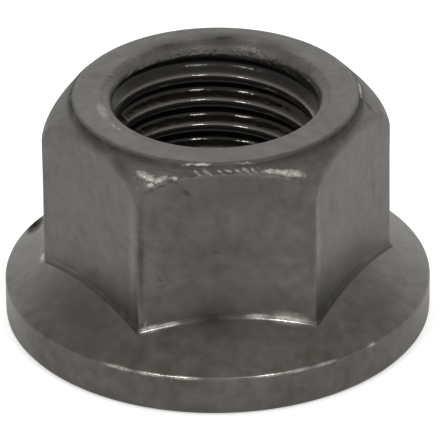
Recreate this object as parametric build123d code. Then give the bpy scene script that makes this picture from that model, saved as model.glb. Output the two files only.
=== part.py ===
from build123d import *
import math
import os

# A flanged hexagon wheel nut, forged and turned in one piece and tapped M12 x 1.5.
# All sizes are in millimetres. The origin is the middle of the seating face, +Z runs up
# through the hole, and one of the six flats faces -Y.

# Thread. The hole is drilled to the crests of an ordinary 60 degree metric thread, whose
# depth in the nut is five eighths of the height of its sharp triangle
thread_diameter = 12.0
thread_pitch = 1.5
thread_truncation = 5 / 8
thread_angle = 60.0

# Hexagon and the rounded shoulder above its flats
across_flats = 16.0
corner_round = 0.25
shoulder_round = 2.3
shoulder_spare = 0.02
nut_height = 12.9

# Raised ring around the upper mouth of the hole. Its edge is set back from the flats, and
# from there a short steep wall runs down and out to the shoulder
ring_setback = 0.5
ring_step = 0.4
ring_wall_slope = 55.0
ring_round = 0.35

# Flange, which reaches out past the hexagon's corners
flange_overhang = 2.1
flange_slope = 28.4
rim_height = 2.2
rim_round = 0.2
seat_chamfer = 0.25
foot_fillet = 0.25

# Countersinks at the two mouths of the hole, each as wide as this outside the thread's
# crests. The upper one is steep, with a well rounded lip
top_countersink_width = 0.362
top_countersink_angle = 25.0
lip_round = 0.65
seat_countersink_width = 1.2
seat_countersink_angle = 90.0

# Sizes that follow from the ones above
thread_triangle = thread_pitch / 2 / math.tan(math.radians(thread_angle / 2))
bore_radius = thread_diameter / 2 - thread_truncation * thread_triangle
top_mouth_radius = bore_radius + top_countersink_width
seat_mouth_radius = bore_radius + seat_countersink_width
corner_radius = across_flats / math.sqrt(3) - corner_round * (2 / math.sqrt(3) - 1)
envelope_radius = corner_radius + shoulder_spare
ring_radius = across_flats / 2 - ring_setback
ring_foot_radius = ring_radius + ring_step / math.tan(math.radians(ring_wall_slope))
flange_radius = corner_radius + flange_overhang
flange_rise = flange_radius * math.tan(math.radians(flange_slope))

# How closely an edge's radius and height must match to be the one that is asked for
tolerance = 0.01


def turned(*outline):
    """A solid of revolution from points (radius, height)."""
    return revolve(Plane.YZ * make_face(Polyline(*outline, close=True)), Axis.Z)


def flange():
    """The skirt: an upright rim under a cone that runs on inside the hexagon."""
    peak = rim_height + flange_rise
    return turned((0, 0), (flange_radius, 0), (flange_radius, rim_height), (0, peak))


def shoulder_envelope():
    """The round body that the hexagon is trimmed to, with the raised ring on top."""
    ring_foot = nut_height - ring_step
    centre_radius = envelope_radius - shoulder_round
    foot_angle = math.acos((ring_foot_radius - centre_radius) / shoulder_round)
    centre_height = ring_foot - shoulder_round * math.sin(foot_angle)
    arc = CenterArc((centre_radius, centre_height), shoulder_round, 0, math.degrees(foot_angle))
    below = Polyline((0, 0), (envelope_radius, 0), arc @ 0)
    above = Polyline(arc @ 1, (ring_radius, nut_height), (0, nut_height), (0, 0))
    return revolve(Plane.YZ * make_face([below, arc, above]), Axis.Z)


def hexagon():
    """The wrench hexagon, with its corners slightly rounded and its shoulder trimmed round."""
    outline = RegularPolygon(across_flats / 2, 6, major_radius=False)
    outline = fillet(outline.vertices(), corner_round)
    return extrude(outline, nut_height) & shoulder_envelope()


def with_foot_fillet(body):
    """Fill the corner all round where the hexagon stands on the flange."""
    foot = [
        edge
        for edge in body.edges()
        if rim_height < edge.center().Z < rim_height + flange_rise
        and edge.geom_type not in (GeomType.LINE, GeomType.CIRCLE)
    ]
    return fillet(foot, foot_fillet)


def countersink(radius, angle, height, direction):
    """A cone with its base at this height, which narrows up (1) or down (-1)."""
    depth = radius / math.tan(math.radians(angle / 2))
    return turned((0, height), (radius, height), (0, height + direction * depth))


def with_hole(body):
    """Drill the hole at the thread's crest radius and countersink both of its mouths."""
    body -= Cylinder(bore_radius, nut_height, align=(Align.CENTER, Align.CENTER, Align.MIN))
    body -= countersink(top_mouth_radius, top_countersink_angle, nut_height, -1)
    body -= countersink(seat_mouth_radius, seat_countersink_angle, 0, 1)
    return body


def circles(body, radius, height):
    """The circular edges of this radius at this height."""
    return [
        edge
        for edge in body.edges().filter_by(GeomType.CIRCLE)
        if abs(edge.radius - radius) < tolerance and abs(edge.arc_center.Z - height) < tolerance
    ]


def with_soft_edges(body):
    """Take the sharpness off the turned edges."""
    body = chamfer(circles(body, flange_radius, 0), seat_chamfer)
    body = fillet(circles(body, flange_radius, rim_height), rim_round)
    body = fillet(circles(body, ring_radius, nut_height), ring_round)
    return fillet(circles(body, top_mouth_radius, nut_height), lip_round)


def nut():
    """The whole nut, in the order in which it is made."""
    blank = with_foot_fillet(flange() + hexagon())
    return with_soft_edges(with_hole(blank))


os.makedirs("parts", exist_ok=True)
export_step(nut(), "parts/nut.step")
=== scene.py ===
import logging
import math
from collections.abc import Iterable
from dataclasses import dataclass, field
from enum import Enum

import bpy
import numpy as np
from mathutils import Matrix, Vector, noise


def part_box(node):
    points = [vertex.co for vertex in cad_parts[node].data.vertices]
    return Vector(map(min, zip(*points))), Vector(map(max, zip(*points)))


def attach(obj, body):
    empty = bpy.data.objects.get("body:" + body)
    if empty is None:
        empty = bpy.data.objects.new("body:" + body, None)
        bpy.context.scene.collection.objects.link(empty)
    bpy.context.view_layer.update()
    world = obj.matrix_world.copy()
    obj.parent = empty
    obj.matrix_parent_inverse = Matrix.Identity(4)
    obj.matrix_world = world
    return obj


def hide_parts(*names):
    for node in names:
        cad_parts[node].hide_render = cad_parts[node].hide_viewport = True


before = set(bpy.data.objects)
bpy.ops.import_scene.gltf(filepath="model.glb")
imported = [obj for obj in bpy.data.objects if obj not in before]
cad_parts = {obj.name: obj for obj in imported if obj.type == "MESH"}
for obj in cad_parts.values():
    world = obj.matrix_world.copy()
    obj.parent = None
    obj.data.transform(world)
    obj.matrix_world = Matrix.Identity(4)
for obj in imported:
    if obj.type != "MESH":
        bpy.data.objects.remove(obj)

LOG = logging.getLogger("wheel_nut")

MM = 0.001
NUT_NODE = "nut"
BODY = "root"
SIXTH_TURN = math.pi / 3
# Points are joined where they agree to this part of a millimetre
MERGE_PER_MM = 1e5
# The inner share of a scuff or a painted highlight, where it acts evenly
SCUFF_AND_HIGHLIGHT_CORE = 0.45

Socket = bpy.types.NodeSocket
Colour = tuple[float, float, float, float]
Span = tuple[float, float]
SectionPoint = tuple[np.ndarray | float, np.ndarray | float]


class Zone(Enum):
    """The kinds of surface that the nut has, by how they were made."""

    SEAT = 0
    RIM = 1
    CONE = 2
    FOOT = 3
    FLAT = 4
    SHOULDER = 5
    RING = 6
    COUNTERSINK = 7
    THREAD = 8


FORGED = (Zone.RIM, Zone.CONE, Zone.FOOT, Zone.FLAT, Zone.SHOULDER)
TURNED = (Zone.RING, Zone.COUNTERSINK)


def within(zone: np.ndarray, *kinds: Zone) -> np.ndarray:
    """Which points belong to any of these kinds of surface."""
    return np.isin(zone, [kind.value for kind in kinds])


@dataclass(frozen=True)
class Mark:
    """A scuff, a stain, a painted highlight or painted shade on the nut, long from one end to the other.
    Lengths are in millimetres.

    Args:
        start: One end of it.
        end: Its other end.
        width: Half its width, and how far it reaches past its two ends.
        shine: How much of the dark coating is rubbed off, or how bright a painted highlight is, 0 to 1.
        stain: How dark the dirt or the painted shade in it is, 0 to 1, or more for a broad dark middle.
    """

    start: tuple[float, float, float]
    end: tuple[float, float, float]
    width: float
    shine: float = 0.0
    stain: float = 0.0

    @property
    def strength(self) -> float:
        """How bright or how dark it is where it acts in full."""
        return self.shine or self.stain

    @property
    def core(self) -> float:
        """How far out it acts in full: a scuff or a painted highlight has a firm middle, and a stain or
        painted shade fades all the way.
        """
        return SCUFF_AND_HIGHLIGHT_CORE if self.shine else 0.0

    def weight(self, nodes: "Nodes", place: Socket) -> Socket:
        """How strongly the mark acts at a place.

        Args:
            nodes: The material's nodes.
            place: The place in object space.

        Returns:
            A value that is 1 inside the mark and fades to 0 at its border.
        """
        start, end = Vector(self.start), Vector(self.end)
        along = end - start
        turn = along.to_track_quat("X", "Z").to_euler()
        mapped = nodes.add("Mapping", vector_type="TEXTURE")
        nodes.put(mapped.inputs["Vector"], place)
        mapped.inputs["Location"].default_value = (start + end) / 2 * MM
        mapped.inputs["Rotation"].default_value = turn
        size = (along.length / 2 + self.width, self.width, self.width)
        mapped.inputs["Scale"].default_value = Vector(size) * MM
        far = nodes.add("VectorMath", operation="LENGTH")
        nodes.put(far.inputs[0], mapped.outputs["Vector"])
        return nodes.spread(far.outputs["Value"], 1.0, self.core, 0.0, 1.0)

    def share(self, points: np.ndarray) -> np.ndarray:
        """How bright or how dark the mark makes points of the mesh.

        Args:
            points: The points, in millimetres.

        Returns:
            One value per point, its strength inside the mark, fading to 0 at its border.
        """
        start, end = np.array(self.start), np.array(self.end)
        length = np.linalg.norm(end - start)
        off = points - (start + end) / 2
        forward = off @ (end - start) / length
        aside = np.sqrt(np.maximum((off**2).sum(axis=1) - forward**2, 0))
        far = np.hypot(forward / (length / 2 + self.width), aside / self.width)
        return self.strength * np.interp(far, (self.core, 1.0), (1.0, 0.0))


@dataclass
class Rows:
    """Rows of points that run round the nut, from the seat outwards and up to the hole.

    Args:
        columns: How many points each row has.
        radius: Each row's distance from the axis.
        height: Each row's height above the seat.
        zone: The kind of surface of each row.
    """

    columns: int
    radius: list[np.ndarray] = field(default_factory=list)
    height: list[np.ndarray] = field(default_factory=list)
    zone: list[int] = field(default_factory=list)

    def add(self, radius: np.ndarray | float, height: np.ndarray | float, zone: Zone) -> None:
        """Add one row.

        Args:
            radius: Distance from the axis, for all columns or one for each.
            height: Height above the seat, for all columns or one for each.
            zone: The kind of surface that the row belongs to.
        """
        self.radius.append(np.broadcast_to(np.asarray(radius, float), (self.columns,)))
        self.height.append(np.broadcast_to(np.asarray(height, float), (self.columns,)))
        self.zone.append(zone.value)

    def line(self, start: SectionPoint, end: SectionPoint, shares: Iterable[float], zone: Zone) -> None:
        """Add rows along a straight line of the section.

        Args:
            start: Radius and height at share 0.
            end: Radius and height at share 1.
            shares: Where the rows lie between the two.
            zone: The kind of surface.
        """
        for share in shares:
            radius, height = (a + (b - a) * share for a, b in zip(start, end))
            self.add(radius, height, zone)

    def bend(
        self, start: SectionPoint, corner: SectionPoint, end: SectionPoint, count: int, zone: Zone
    ) -> None:
        """Add rows along a soft bend that leaves a corner of the section inside it.

        Args:
            start: Radius and height where the bend starts.
            corner: Radius and height of the corner that it rounds.
            end: Radius and height where the bend ends.
            count: How many rows it gets, both ends included.
            zone: The kind of surface.
        """
        for share in np.linspace(0, 1, count):
            before, beside, beyond = (1 - share) ** 2, 2 * share * (1 - share), share * share
            radius, height = (before * a + beside * b + beyond * c for a, b, c in zip(start, corner, end))
            self.add(radius, height, zone)

    def arc(
        self, middle: SectionPoint, radius: float, angles: Iterable[np.ndarray | float], zone: Zone
    ) -> None:
        """Add rows along an arc of the section.

        Args:
            middle: Radius and height of the arc's middle.
            radius: The arc's own radius.
            angles: Where the rows lie, in radians from straight outwards.
            zone: The kind of surface.
        """
        for angle in angles:
            self.add(middle[0] + radius * np.cos(angle), middle[1] + radius * np.sin(angle), zone)


@dataclass(frozen=True)
class NutSizes:
    """The nut's real sizes in millimetres: its solid's, with the rim and the foot a little rounder.

    Args:
        flange_radius: Radius of the flange.
        height: Height of the whole nut.
        thread_pitch: Distance from one crest of the thread to the next.
        bore_radius: Radius of the thread's crests.
        half_flats: Distance from the axis to the wrench flats.
        corner_round: Radius of the hexagon's corners.
        shoulder_round: Radius of the shoulder's arc.
        shoulder_spare: How far outside the corners that arc reaches.
        ring_radius: Radius of the raised ring.
        ring_step: Height of its wall.
        ring_wall_slope: How steep that wall is, in radians.
        ring_round: Radius of its edge.
        rim_height: Height of the flange's upright rim.
        rim_round: Radius of the rim's upper edge.
        seat_chamfer: Width of the chamfer round the seat.
        flange_slope: How steep the flange's cone is, in radians.
        foot_fillet: Radius of the fillet at the hexagon's foot.
        lip_round: Radius of the lip of the upper mouth.
        top_mouth_radius: Radius of the upper mouth.
        top_countersink: How far its countersink leans off the axis, in radians.
        seat_mouth_radius: Radius of the lower mouth.
        seat_countersink: How far its countersink leans off the axis, in radians.
    """

    flange_radius: float
    height: float
    thread_pitch: float = 1.5
    bore_radius: float = 5.188
    half_flats: float = 8.0
    corner_round: float = 0.25
    shoulder_round: float = 2.3
    shoulder_spare: float = 0.02
    ring_radius: float = 7.5
    ring_step: float = 0.4
    ring_wall_slope: float = math.radians(55.0)
    ring_round: float = 0.35
    rim_height: float = 2.2
    rim_round: float = 0.22
    seat_chamfer: float = 0.25
    flange_slope: float = math.radians(28.4)
    foot_fillet: float = 0.30
    lip_round: float = 0.65
    top_mouth_radius: float = 5.55
    top_countersink: float = math.radians(12.5)
    seat_mouth_radius: float = 6.388
    seat_countersink: float = math.radians(45.0)

    def hexagon(self, azimuth: np.ndarray) -> np.ndarray:
        """Distance from the axis to the wrench flats.

        Args:
            azimuth: Angles round the axis, in radians from +X.

        Returns:
            One distance per angle, with the six corners rounded.
        """
        half = SIXTH_TURN / 2
        off_corner = np.abs((azimuth + half) % SIXTH_TURN - half)
        flat = self.half_flats / np.cos(half - off_corner)
        middle = (self.half_flats - self.corner_round) / math.cos(half)
        aside, outward = self.corner_round * math.sin(half), self.corner_round * math.cos(half)
        reach = math.atan(aside / (middle + outward))
        under = np.maximum(self.corner_round**2 - (middle * np.sin(off_corner)) ** 2, 0)
        rounded = middle * np.cos(off_corner) + np.sqrt(under)
        return np.where(off_corner < reach, rounded, flat)

    @property
    def ring_foot(self) -> float:
        """Radius at which the ring's steep wall meets the shoulder."""
        return self.ring_radius + self.ring_step / math.tan(self.ring_wall_slope)

    @property
    def shoulder_middle(self) -> tuple[float, float]:
        """Radius and height of the middle of the shoulder's arc in the section.

        Returns:
            Radius and height.
        """
        sharp = 2 / math.sqrt(3)
        corner = self.half_flats * sharp - self.corner_round * (sharp - 1)
        radius = corner + self.shoulder_spare - self.shoulder_round
        foot = math.acos((self.ring_foot - radius) / self.shoulder_round)
        return radius, self.height - self.ring_step - self.shoulder_round * math.sin(foot)

    def cone_height(self, radius: np.ndarray | float) -> np.ndarray | float:
        """Height of the flange's cone at a distance from the axis."""
        return self.rim_height + math.tan(self.flange_slope) * (self.flange_radius - radius)


@dataclass
class ThreadForm:
    """The tapped thread, as rows that climb with the helix.

    Args:
        sizes: The nut's sizes.
        crest_at_back: Height of the middle of a crest at the back of the hole.
        depth: How deep it is above the dirt in its roots.
        crest_land: Width of a flat crest, as a share of the pitch.
        root_land: Width of a flat root, as a share of the pitch.
        crest_edge: How widely a crest's edge is rounded, as a share of the pitch.
        root_edge: How widely a root's edge is rounded, as a share of the pitch.
        blend: How softly it runs into the countersinks.
    """

    sizes: NutSizes
    crest_at_back: float = 9.5125
    depth: float = 0.60
    crest_land: float = 0.25
    root_land: float = 0.20
    crest_edge: float = 0.02
    root_edge: float = 0.12
    blend: float = 0.03

    @property
    def phase(self) -> float:
        """Height of the middle of a crest at azimuth 0, a quarter turn before the back."""
        return self.crest_at_back - self.sizes.thread_pitch / 4

    def stations(self) -> np.ndarray:
        """Places of the rows within one pitch, as shares of the pitch.

        Returns:
            The places, from one crest to the next.
        """
        crest, root = self.crest_land / 2, 0.5 - self.root_land / 2
        edge, bend = self.crest_edge, self.root_edge
        half = [0.0, crest - edge, crest, crest + edge, (crest + root - bend) / 2]
        half.extend((root - bend, root - bend / 2, root))
        half.append((root + 0.5) / 2)
        return np.array(half + [0.5] + [1 - share for share in half[:0:-1]])

    def off_crest(self, azimuth: np.ndarray, height: np.ndarray) -> np.ndarray:
        """How far places are from the middle of the nearest crest, as a share of the pitch."""
        share = (height - self.phase) / self.sizes.thread_pitch - azimuth / (2 * math.pi)
        return np.abs((share + 0.5) % 1 - 0.5)

    def radius(self, off: np.ndarray) -> np.ndarray:
        """Distance of the thread's surface from the axis.

        Args:
            off: How far places are from the middle of a crest, as a share of the pitch.

        Returns:
            One distance per place, with the edges of crest and root rounded.
        """
        crest, root = self.crest_land / 2, 0.5 - self.root_land / 2
        flank = self.depth / (root - crest)
        rise = self._ramp(off - crest, self.crest_edge) - self._ramp(off - root, self.root_edge)
        return self.sizes.bore_radius + flank * rise

    @staticmethod
    def _ramp(past: np.ndarray, edge: float) -> np.ndarray:
        """Zero before an edge and the distance past it after, rounded over its width."""
        bend = (past + edge) ** 2 / (4 * edge)
        return np.where(past < -edge, 0.0, np.where(past > edge, past, bend))

    def surface(self, azimuth: np.ndarray, height: np.ndarray) -> np.ndarray:
        """Distance from the axis of the tapped and countersunk hole.

        Args:
            azimuth: Angles round the axis, in radians.
            height: Heights above the seat, in millimetres.

        Returns:
            One distance per place.
        """
        sizes = self.sizes
        thread = self.radius(self.off_crest(azimuth, height))
        upper = sizes.top_mouth_radius - (sizes.height - height) * math.tan(sizes.top_countersink)
        lower = sizes.seat_mouth_radius - height * math.tan(sizes.seat_countersink)
        cones = np.maximum(upper, lower)
        gap = np.abs(thread - cones)
        ease = np.maximum(self.blend - gap, 0) ** 2 / (4 * self.blend)
        return np.maximum(thread, cones) + ease


@dataclass(frozen=True)
class Condition:
    """How worn and how dirty each point of the nut is, and where shade and highlights are painted on it, from
    0 to 1. Lengths are in millimetres.

    Args:
        sizes: The nut's sizes.
        thread: Its thread.
        soil_and_shade: Broad soft darkenings, mostly painted shade, partly stains.
        wear_and_highlight: Where its edges are rubbed bright and where highlights are painted.
        crest_shade: Painted shade on the thread's flat crests.
        crest_film: How deep below the crests that shade reaches.
        root_oil_and_shade: Old oil and painted shade in the thread's roots.
        root_span: The depths between which it sets in.
        first_turn_oil_and_shade: Old oil and painted shade all over the first turn.
        first_groove_dirt_and_shade: Dirt and painted shade in the groove of the first turn.
        first_turn: How far down the first turn reaches.
        groove_start: The depth at which a groove starts.
        clean_mouth: How far down the mouth is left without that oil and shade.
        crest_bright_width: How wide the bright edges of the crests are, as a share of the pitch.
        crest_bright_top: Height up to which the stud has rubbed them and a highlight is painted on them.
        torn_reach: How far outside the mouth the metal is torn.
        torn_depth: How far down it is torn.
        torn_mouth: How torn the mouth is in front and at the back.
        torn_back: Where it changes, as shares of the way to the back.
        torn_shoulder: How torn the shoulder is at the sides and in front.
        torn_front: Where it changes, as shares of the way to the front.
        torn_thread: How torn the thread is.
        front_spare: How much wider the front flat's sector is taken, in radians.
        dull_countersink: How dull the upper countersink is.
        dull_shoulder: The shoulder's levels between which it turns dull.
        ring_shade_width: How wide the painted shade along the ring's wall is.
        ring_shade_front: How much of that shade there is in front.
        ring_shade_turn: How far round the nut there is less of it, in radians.
        foot_shade: How high the painted shade at the foot of the flats reaches.
        wedge_height: How much higher it reaches beside the front corners.
        wedge_turn: How far round the nut it falls off from there, in radians.
        wedge_fade: The shares of its height between which it fades.
        wedge_shade: How dark the painted shade is beside the front corners.
        wedge_power: How slowly that falls off.
        fillet_shade: How dark the painted shade on the side fillets is at least.
        flat_shade: How dark the painted shade at the foot of the side flats is at least.
    """

    sizes: NutSizes
    thread: ThreadForm
    soil_and_shade: tuple[Mark, ...]
    wear_and_highlight: tuple[Mark, ...]
    crest_shade: float = 0.75
    crest_film: float = 0.08
    root_oil_and_shade: float = 0.55
    root_span: Span = (0.05, 0.30)
    first_turn_oil_and_shade: float = 0.9
    first_groove_dirt_and_shade: float = 0.3
    first_turn: float = 1.9
    groove_start: float = 0.1
    clean_mouth: float = 0.6
    crest_bright_width: float = 0.045
    crest_bright_top: float = 12.0
    torn_reach: float = 0.45
    torn_depth: float = 0.95
    torn_mouth: Span = (0.35, 1.0)
    torn_back: Span = (0.25, 0.875)
    torn_shoulder: Span = (0.25, 0.75)
    torn_front: Span = (0.5, 1.0)
    torn_thread: float = 0.12
    front_spare: float = 0.01
    dull_countersink: float = 0.8
    dull_shoulder: Span = (0.3, 0.7)
    ring_shade_width: float = 0.16
    ring_shade_front: float = 0.75
    ring_shade_turn: float = 0.8
    foot_shade: float = 0.10
    wedge_height: float = 1.8
    wedge_turn: float = math.radians(40.0)
    wedge_fade: Span = (0.3, 1.3)
    wedge_shade: float = 0.9
    wedge_power: float = 0.7
    fillet_shade: float = 0.5
    flat_shade: float = 0.1

    def layers(self, points: np.ndarray, zone: np.ndarray) -> dict[str, np.ndarray]:
        """All that the finish reads.

        Args:
            points: The nut's points.
            zone: The kind of surface that each belongs to.

        Returns:
            One value per point, by the name under which the finish finds it.
        """
        return {
            "ring": within(zone, Zone.RING),
            "thread": within(zone, Zone.THREAD),
            # groove: painted shade in the thread, with old oil in its roots
            "groove": self._oil_and_shade(points, zone),
            # burnish: painted highlight on the crests' edges, partly rubbed by the stud
            "burnish_and_highlight": self._burnish_and_highlight(points, zone),
            "torn": self._torn(points, zone),
            "matt": self._dull(points, zone),
            # grime: dirt and painted shade
            "grime_and_shade": self._dirt_and_shade(points, zone),
            # worn: rubbed edges and painted highlights
            "worn_and_highlight": np.max([mark.share(points) for mark in self.wear_and_highlight], axis=0),
        }

    @staticmethod
    def _from_front(points: np.ndarray) -> np.ndarray:
        """How far round the nut each point is from the middle of the front flat, in radians."""
        return np.arctan2(np.abs(points[:, 0]), -points[:, 1])

    def _oil_and_shade(self, points: np.ndarray, zone: np.ndarray) -> np.ndarray:
        """Painted shade and old oil on the thread: most on the flat crests, some in the roots, and all over
        the first turn.

        Args:
            points: The nut's points, in millimetres.
            zone: The kind of surface that each belongs to.

        Returns:
            One value per point.
        """
        depth = np.hypot(points[:, 0], points[:, 1]) - self.sizes.bore_radius
        down = self.sizes.height - points[:, 2]
        # painted shade on the flat crests; old oil and painted shade in the roots and all over the first turn
        crest = self.crest_shade * np.exp(-((depth / self.crest_film) ** 2))
        root = self.root_oil_and_shade * np.interp(depth, self.root_span, (0, 1))
        first = self.first_turn_oil_and_shade * (down < self.first_turn)
        inside = within(zone, Zone.THREAD) & (down > self.clean_mouth)
        return np.max([crest, root, first], axis=0) * inside * (1 - self._burnish_and_highlight(points, zone))

    def _burnish_and_highlight(self, points: np.ndarray, zone: np.ndarray) -> np.ndarray:
        """Edges of the thread's crests, which the stud has rubbed bright, with a painted highlight on them.

        Args:
            points: The nut's points, in millimetres.
            zone: The kind of surface that each belongs to.

        Returns:
            One value per point.
        """
        azimuth = np.arctan2(points[:, 1], points[:, 0])
        off = self.thread.off_crest(azimuth, points[:, 2]) - self.thread.crest_land / 2
        inside = within(zone, Zone.THREAD) & (points[:, 2] < self.crest_bright_top)
        return np.exp(-((off / self.crest_bright_width) ** 2)) * inside

    def _torn(self, points: np.ndarray, zone: np.ndarray) -> np.ndarray:
        """Where the tools tore the metal instead of cutting it cleanly.

        Args:
            points: The nut's points, in millimetres.
            zone: The kind of surface that each belongs to.

        Returns:
            One value per point.
        """
        s = self.sizes
        radius = np.hypot(points[:, 0], points[:, 1])
        near = (radius < s.top_mouth_radius + self.torn_reach) & (points[:, 2] > s.height - self.torn_depth)
        backward = points[:, 1] / radius
        mouth = near * np.interp(backward, self.torn_back, self.torn_mouth)
        level = self._level_shoulder(points, zone)
        shoulder = level * np.interp(-backward, self.torn_front, self.torn_shoulder)
        return mouth + shoulder + self.torn_thread * within(zone, Zone.THREAD)

    def _dull(self, points: np.ndarray, zone: np.ndarray) -> np.ndarray:
        """How dull the upper shoulder, the countersink and the side fillets are."""
        countersink = self.dull_countersink * within(zone, Zone.COUNTERSINK)
        return self._level_shoulder(points, zone) + countersink + self._side(points) * within(zone, Zone.FOOT)

    def _side(self, points: np.ndarray) -> np.ndarray:
        """Which points lie outside the sector of the front flat."""
        return self._from_front(points) > SIXTH_TURN / 2 + self.front_spare

    def _level_shoulder(self, points: np.ndarray, zone: np.ndarray) -> np.ndarray:
        """The shoulder's turned upper part, 0 at its steep foot to 1 where it levels out."""
        level = (points[:, 2] - self.sizes.shoulder_middle[1]) / self.sizes.shoulder_round
        return np.interp(level, self.dull_shoulder, (0, 1)) * within(zone, Zone.SHOULDER)

    def _dirt_and_shade(self, points: np.ndarray, zone: np.ndarray) -> np.ndarray:
        """Painted shade along the ring's wall and at the flats' foot, dirt and painted shade in the first
        groove, and broad darkenings, mostly painted shade.

        Args:
            points: The nut's points, in millimetres.
            zone: The kind of surface that each belongs to.

        Returns:
            One value per point.
        """
        s = self.sizes
        radius = np.hypot(points[:, 0], points[:, 1])
        off = radius - (s.ring_foot + s.ring_radius) / 2
        # painted shade in a band along the ring's wall, a little lighter in front
        wall = np.exp(-((off / self.ring_shade_width) ** 2)) * within(zone, Zone.SHOULDER, Zone.RING)
        less = np.interp(self._from_front(points), (0, self.ring_shade_turn), (self.ring_shade_front, 1))
        groove = within(zone, Zone.THREAD) & (radius > s.bore_radius + self.groove_start)
        # dirt and painted shade in the groove of the first turn
        first = self.first_groove_dirt_and_shade * (groove & (points[:, 2] > s.height - self.first_turn))
        # broad soft darkenings, mostly painted shade
        soil_and_shade = np.clip(np.max([mark.share(points) for mark in self.soil_and_shade], axis=0), 0, 1)
        return np.max([wall * less, first, soil_and_shade, self._foot_shade(points, zone)], axis=0)

    def _foot_shade(self, points: np.ndarray, zone: np.ndarray) -> np.ndarray:
        """Painted shade at the foot of the side flats, darkest and highest beside the front corners.

        Args:
            points: The nut's points, in millimetres.
            zone: The kind of surface that each belongs to.

        Returns:
            One value per point.
        """
        radius = np.hypot(points[:, 0], points[:, 1])
        corner = SIXTH_TURN / 2
        beside = np.interp(self._from_front(points), (corner, corner + self.wedge_turn), (1, 0))
        reach = self.foot_shade + self.wedge_height * beside
        above = np.maximum(points[:, 2] - self.sizes.cone_height(radius), 0) / reach
        fillet, flat = within(zone, Zone.FOOT), within(zone, Zone.FLAT)
        # painted shade on the side fillets and the foot of the side flats, darkest beside the front corners
        least = self.fillet_shade * fillet + self.flat_shade * flat
        dirt_and_shade = least + (self.wedge_shade - least) * beside**self.wedge_power
        return dirt_and_shade * np.interp(above, self.wedge_fade, (1, 0)) * (fillet | flat) * self._side(points)


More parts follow.
